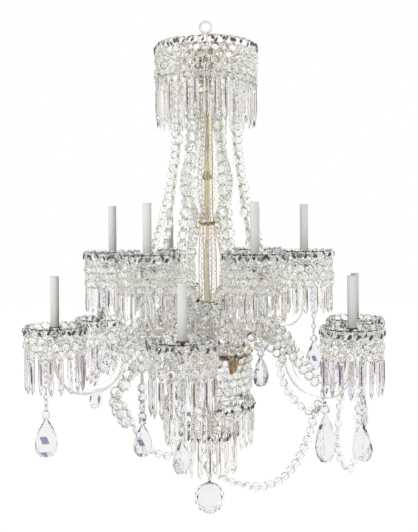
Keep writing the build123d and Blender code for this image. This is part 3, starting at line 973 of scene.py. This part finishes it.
innerChain = {"bead": 0.0275, "pitch": 0.02915, "spread": 30,
              "route": [(0.072, -0.0895), (0.074, -0.288), (0.080, -0.357), (0.090, -0.426),
                        (0.098, -0.492), (0.110, -0.552), (0.117, -0.600), (0.121, -0.694)]}
outerChain = {"bead": 0.0185, "pitch": 0.01887, "spread": 30, "arms": (2, 5), "aside": 0.004,
              "route": [(0.088, -0.152), (0.086, -0.288), (0.090, -0.357), (0.101, -0.426),
                        (0.116, -0.492), (0.132, -0.552), (0.147, -0.600), (0.160, -0.690)]}
garland = {
    "bead": 0.0195, "pitch": 0.0205, "spread": 40, "bareArm": 2,
    # distance from the stem, height, and share of the arm's sag
    "route": [(0.090, -0.770, 0), (0.150, -0.800, 0), (0.215, -0.822, 0), (0.247, -0.852, 0.5),
              (0.285, -0.905, 1), (0.330, -0.940, 1)],
    # aside, rise and how many points of the route
    "strands": [(0.019, 0, 6), (-0.019, 0, 6), (0.024, -0.019, 4), (-0.024, -0.019, 4),
                (0.030, -0.038, 4), (-0.030, -0.038, 4), (0, 0.019, 4)],
}
swag = {
    "bead": 0.0195, "pitch": 0.0245, "spread": 30,
    "routes": [    # lower arm, aside and route
        (1, 0, [(0.221, -0.894), (0.220, -0.926), (0.236, -0.964), (0.262, -0.997),
                (0.300, -1.020), (0.324, -1.014), (0.335, -0.999)]),
        (1, 0.004, [(0.330, -0.986), (0.318, -1.020), (0.308, -1.050), (0.296, -1.092),
                    (0.270, -1.146), (0.233, -1.196), (0.190, -1.226), (0.147, -1.238),
                    (0.110, -1.241), (0.060, -1.238), (0.016, -1.224)]),
        (2, 0, [(0.378, -0.997), (0.372, -1.060), (0.364, -1.139), (0.370, -1.212),
                (0.398, -1.244), (0.418, -1.212), (0.424, -1.139), (0.428, -1.020),
                (0.430, -0.962)]),
        (5, 0, [(0.264, -0.990), (0.245, -1.008), (0.226, -1.041), (0.215, -1.073),
                (0.196, -1.114), (0.165, -1.146), (0.118, -1.168), (0.094, -1.154),
                (0.082, -1.120)]),
    ],
}
doubleSwag = {"bead": 0.026, "pitch": 0.02704, "spread": 30, "arm": 5, "asides": (-0.016, 0.016),
              "route": [(0.205, -0.905), (0.232, -0.950), (0.268, -0.990), (0.262, -1.030),
                        (0.240, -1.062)]}
hubSwag = {    # from arm to arm round the hub, in two rows of (reach, height, fall)
    "bead": 0.0185, "pitch": 0.0225, "spread": 30,
    "rows": [(0.150, -0.788, 0.036), (0.192, -0.808, 0.050)],
    "hang": ((0, 0), (0.2, 0.8), (0.5, 1.25), (0.8, 0.8), (1, 0)),
}
beads, threads = [], []
for angle in upperAngles:
    threads.append(threadAlong(inPlane(angle, innerChain["route"])))
    beads += strandBeads(angle, innerChain["route"], innerChain, radial)
for arm in outerChain["arms"]:
    angle, aside = upperAngles[arm], outerChain["aside"]
    threads.append(threadAlong(inPlane(angle, outerChain["route"], aside)))
    beads += strandBeads(angle, outerChain["route"], outerChain, sideways, aside)
finished(joined("chainBeads", beads), "cutCrystal", replaces=["bead_chains"])
beads = []
for arm, (angle, _, rim) in enumerate(candles["lower"]):
    sag = candles["lower"][0][2] - rim
    for aside, rise, count in garland["strands"] if arm != garland["bareArm"] else ():
        route = [(reach, height - share * sag + rise)
                 for reach, height, share in garland["route"][:count]]
        beads += strandBeads(angle, route, garland, sideways, aside)
for arm, aside, route in swag["routes"]:
    threads.append(threadAlong(inPlane(lowerAngles[arm], route, aside)))
    beads += strandBeads(lowerAngles[arm], route, swag, sideways, aside)
hubBeads = []
for angle, after in zip(lowerAngles, [*lowerAngles[1:], lowerAngles[0] + 360]):
    turn = (after - angle) % 360
    for reach, height, fall in hubSwag["rows"]:
        line = smoothLine([outward(angle + turn * part, reach, height - fall * drop).translation
                           for part, drop in hubSwag["hang"]])
        hubBeads += beadString(line, hubSwag["bead"], hubSwag["pitch"], hubSwag["spread"],
                               radial(angle + turn / 2))
# the hub swag's warmer tint: a painted reflection of the gilt round the hub
finished(joined("hubSwagBeads", hubBeads), "warmCrystal")
for aside in doubleSwag["asides"]:
    beads += strandBeads(lowerAngles[doubleSwag["arm"]], doubleSwag["route"], doubleSwag,
                         sideways, aside)
finished(joined("swagBeads", beads), "chainCrystal", replaces=["bead_swags"])
finished(joined("stringWires", threads), "silveredBrass")
print("chains hung")

# pear drops: sizes at a drop as wide as the width below
pearString = {"width": 0.056, "length": 0.092, "topBead": 0.020, "pitch": 1.12, "spread": 80,
              "bead": 0.013, "longBead": 0.021, "longDrop": ("upper", 1), "violet": 2,
              "violetFrom": 0.93, "violetTo": 0.5}    # where the painted violet facets go, in shares of its length, from the top
armPear = {"bead": 0.006, "stretch": 1.33}
wireEye = {"ring": 0.0036, "wire": 0.0011, "segments": 16, "sides": 6, "hang": 0.0045}


def eyeOn(name, body, pin, heading):
    # a ring of wire round its pin, which points along the heading
    deselect()
    bpy.ops.mesh.primitive_torus_add(location=pin, rotation=(0, math.pi / 2, heading),
                                     major_segments=wireEye["segments"],
                                     minor_segments=wireEye["sides"],
                                     major_radius=wireEye["ring"], minor_radius=wireEye["wire"])
    finished(smooth(settle(bpy.context.object, name), 60), "giltBrass", body=body)


def paintedVioletFacets(piece, facets, count):
    # painted shade and reflection: a few of a drop's facets tinted dark violet, each with one that
    # shares an edge
    piece.data.materials.append(materials["violetGlint"])
    for facet in rng.sample(facets, count):
        touching = [other for other in facets
                    if len(set(facet.edge_keys) & set(other.edge_keys)) == 1]
        for tinted in [facet, *touching[:1]]:
            tinted.material_index = 1


def pearOnString(node, name, beadSize, stretch=1.0):
    # an eye on its pin, a string of beads and the pear, turned as on the node it stands for
    joint = jointOf(node)
    pin, (low, _) = Vector(joint["pos_m"]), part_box(node)
    corners = frame["nodes"][node].data.vertices
    corner = max(corners, key=lambda v: (v.co.xy - pin.xy).length).co
    across = corner.xy - pin.xy
    wide = 2 * across.length
    size = wide / pearString["width"]
    tall = pearString["length"] * size * stretch
    top = Vector((pin.x, pin.y, low.z + tall))
    turn = Matrix.Rotation(math.atan2(across.y, across.x) - math.pi / 2, 4, "Z")
    crystal = [strung(pear, Matrix.Translation(top) @ turn, tall, wide)]
    topBead = pearString["topBead"] * size
    middle = Matrix.Translation(top + Vector((0, 0, topBead / 2)))
    crystal.append(strung(bead, middle @ turn, topBead, topBead))
    string = [pin - Vector((0, 0, wireEye["hang"])), top + Vector((0, 0, topBead))]
    crystal += beadString(string, beadSize, beadSize * pearString["pitch"], pearString["spread"])
    whole = finished(joined(name, crystal), "pearCrystal", body=node, replaces=[node])
    # painted shade and reflection: dark violet facets on the drop's lower half
    lowest = top.z - pearString["violetFrom"] * tall
    highest = top.z - pearString["violetTo"] * tall
    facets = [facet for facet in whole.data.polygons if lowest < facet.center.z < highest]
    paintedVioletFacets(whole, facets, pearString["violet"])
    eyeOn(name + "Eye", node, pin, math.atan2(joint["axis"][1], joint["axis"][0]))


for tier in candles:
    for i in range(1, 7):
        kind = "longBead" if (tier, i) == pearString["longDrop"] else "bead"
        pearOnString(f"{tier}_pear_drop_{i}", f"{tier}Pear{i}", pearString[kind])
pearOnString("arm_pear_drop", "armPear", armPear["bead"], armPear["stretch"])
print("pears hung")

# lamp wires, from under the crown's gallery down to the upper arm plate
wire = {"diameter": 0.003, "stray": 0.008, "steps": 12}
straightWire = {"length": 0.572, "angles": (20, 110, 200, 290),
                "route": [(0.018, -0.1845), (0.0155, -0.280), (0.017, -0.410), (0.016, -0.480),
                          (0.0195, -0.537), (0.027, -0.640), (0.024, -0.756)]}
slackWire = {"length": 0.576, "angles": (-8, 62, 172, 240),
             "route": [(0.018, -0.1845), (0.0165, -0.280), (0.017, -0.410), (0.016, -0.480),
                       (0.0195, -0.537), (0.047, -0.632), (0.040, -0.690), (0.052, -0.756)]}


def lampWire(name, angle, route):
    # each wire strays a little on its free stretch
    points = inPlane(angle, route)
    for free in (-2, -3):
        points[free] += sideways(angle) * rng.uniform(-wire["stray"], wire["stray"])
    lead = smoothCurve(points, wire["steps"])
    lead.name = name
    lead.data.name = name
    lead.data.bevel_depth = wire["diameter"] / 2
    lead.data.bevel_resolution = 2
    lead.data.use_fill_caps = True
    finished(lead, "goldLead", replaces=["lamp_wires"])


for word, shape in (("Straight", straightWire), ("Slack", slackWire)):
    for i, angle in enumerate(shape["angles"], 1):
        lampWire(f"lampWire{word}{i}", angle, shape["route"])
print("lamp wires run")

# strings of small beads over the vase, from the gallery to the disc, and on to the arm plate
stemStrings = {"turns": (18, 30, 42), "bareFront": 14, "bead": 0.0125, "pitch": 0.0135,
               "spread": 40,
               "route": [(0.026, -0.186), (0.028, -0.240), (0.038, -0.300), (0.050, -0.345),
                         (0.070, -0.400), (0.073, -0.440), (0.058, -0.485), (0.036, -0.515),
                         (0.033, -0.534)]}
footStrings = {"count": 12, "start": 15, "bareFront": 40, "bead": 0.0135, "pitch": 0.0145,
               "spread": 40,
               "route": [(0.034, -0.538), (0.052, -0.590), (0.060, -0.660), (0.050, -0.745)]}
beads = []
for angle in [arm + turn for arm in upperAngles for turn in stemStrings["turns"]]:
    if abs(angle) > stemStrings["bareFront"]:
        beads += strandBeads(angle, stemStrings["route"], stemStrings, radial)
for angle in evenly(footStrings["count"], footStrings["start"]):
    if footStrings["bareFront"] < angle < 360 - footStrings["bareFront"]:
        beads += strandBeads(angle, footStrings["route"], footStrings, radial)
finished(joined("stemStrings", beads), "cutCrystal")
print("stem strings hung")

# ball drop, with painted shade: dark violet facets on its left and right sides
ball = {"radius": 0.042, "tilts": (-66, -40, -14, 14, 40, 66), "facets": 12, "top": 0.006,
        "topShare": 0.985, "violet": 2, "violetFrom": 0.8, "violetReach": 0.5}
ballCap = {"sides": 16, "low": (0.0055, 0.0015), "edge": 0.0062,
           "neck": [(0.003, -1.2475), (0.0018, -1.246)], "pin": -1.242}


def ballDrop():
    radius = ball["radius"]
    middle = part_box("ball_drop")[0].z + radius
    crest = middle + radius * ball["topShare"]
    tilts = [math.radians(tilt) for tilt in ball["tilts"]]
    rows = [(radius * math.cos(tilt), middle + radius * math.sin(tilt)) for tilt in tilts]
    levels = [(0.0, middle - radius), *rows, (ball["top"], crest)]
    crystal = turned("ballCrystal", levels, ball["facets"], twist=True)
    finished(crystal, "pearCrystal", body="ball_drop", replaces=["ball_drop"])
    # painted shade: dark violet facets on the left and right sides, about the middle
    facets = [facet for facet in crystal.data.polygons
              if abs(facet.center.x) > ball["violetFrom"] * radius
              and abs(facet.center.z - middle) < ball["violetReach"] * radius]
    paintedVioletFacets(crystal, facets, ball["violet"])
    wide, sunk = ballCap["low"]
    profile = [(wide, crest - sunk), (ballCap["edge"], middle + radius), *ballCap["neck"]]
    cap = turned("ballCap", profile, ballCap["sides"])
    finished(smooth(cap, 40), "giltBrass", body="ball_drop")
    eyeOn("ballEye", "ball_drop", (0, 0, ballCap["pin"]), 0)


ballDrop()

# glass on the stem: the node it stands for, its sides and its profile
stemGlass = {
    "stemSpindle": ("stem_spindle", 18, [
        (0.0052, -0.346), (0.009, -0.346), (0.012, -0.318), (0.008, -0.290), (0.0075, -0.240),
        (0.011, -0.195), (0.0052, -0.195)]),
    "hubBowl": ("hub_bowl", 30, [
        (0.0052, -0.879), (0.016, -0.879), (0.014, -0.868), (0.030, -0.846), (0.045, -0.824),
        (0.046, -0.808), (0.030, -0.784), (0.0052, -0.784)]),
    "stemVase": ("stem_baluster", 32, [
        (0.0235, -0.535), (0.027, -0.535), (0.029, -0.515), (0.050, -0.485), (0.062, -0.462),
        (0.066, -0.438), (0.064, -0.405), (0.052, -0.368), (0.042, -0.340), (0.034, -0.300),
        (0.031, -0.300), (0.039, -0.340), (0.049, -0.368), (0.061, -0.405), (0.063, -0.438),
        (0.059, -0.462), (0.047, -0.485), (0.0255, -0.515)]),
}
for name, (node, sides, levels) in stemGlass.items():
    finished(smooth(turnedRing(name, levels, sides), 20), "blownGlass", replaces=[node])
print("stem glass placed")

# the masters go, and the parts kept from the frame get their finishes
for master in masters:
    bpy.data.objects.remove(master)
kept = {
    "giltBrass": ["wire_tie", "stem_disc"],
    "paleBronze": ["crown_top_disc"],
    "rodBrass": ["stem_rod"],
    "plateBrass": ["lower_arm_plate"],
    "galleryBrass": ["crown_gallery"],
    "silveredBrass": ["hanging_loop", "basket_ring_middle", "basket_ring_low", "drop_pins",
                      "arm_clip", "bottom_finial"],
    "blownGlass": ["upper_arm_plate", "crown_lower_ring"],
}
for finish, nodes in kept.items():
    for node in nodes:
        frame["nodes"][node].data.materials.clear()
        frame["nodes"][node].data.materials.append(materials[finish])
print("kept parts finished")
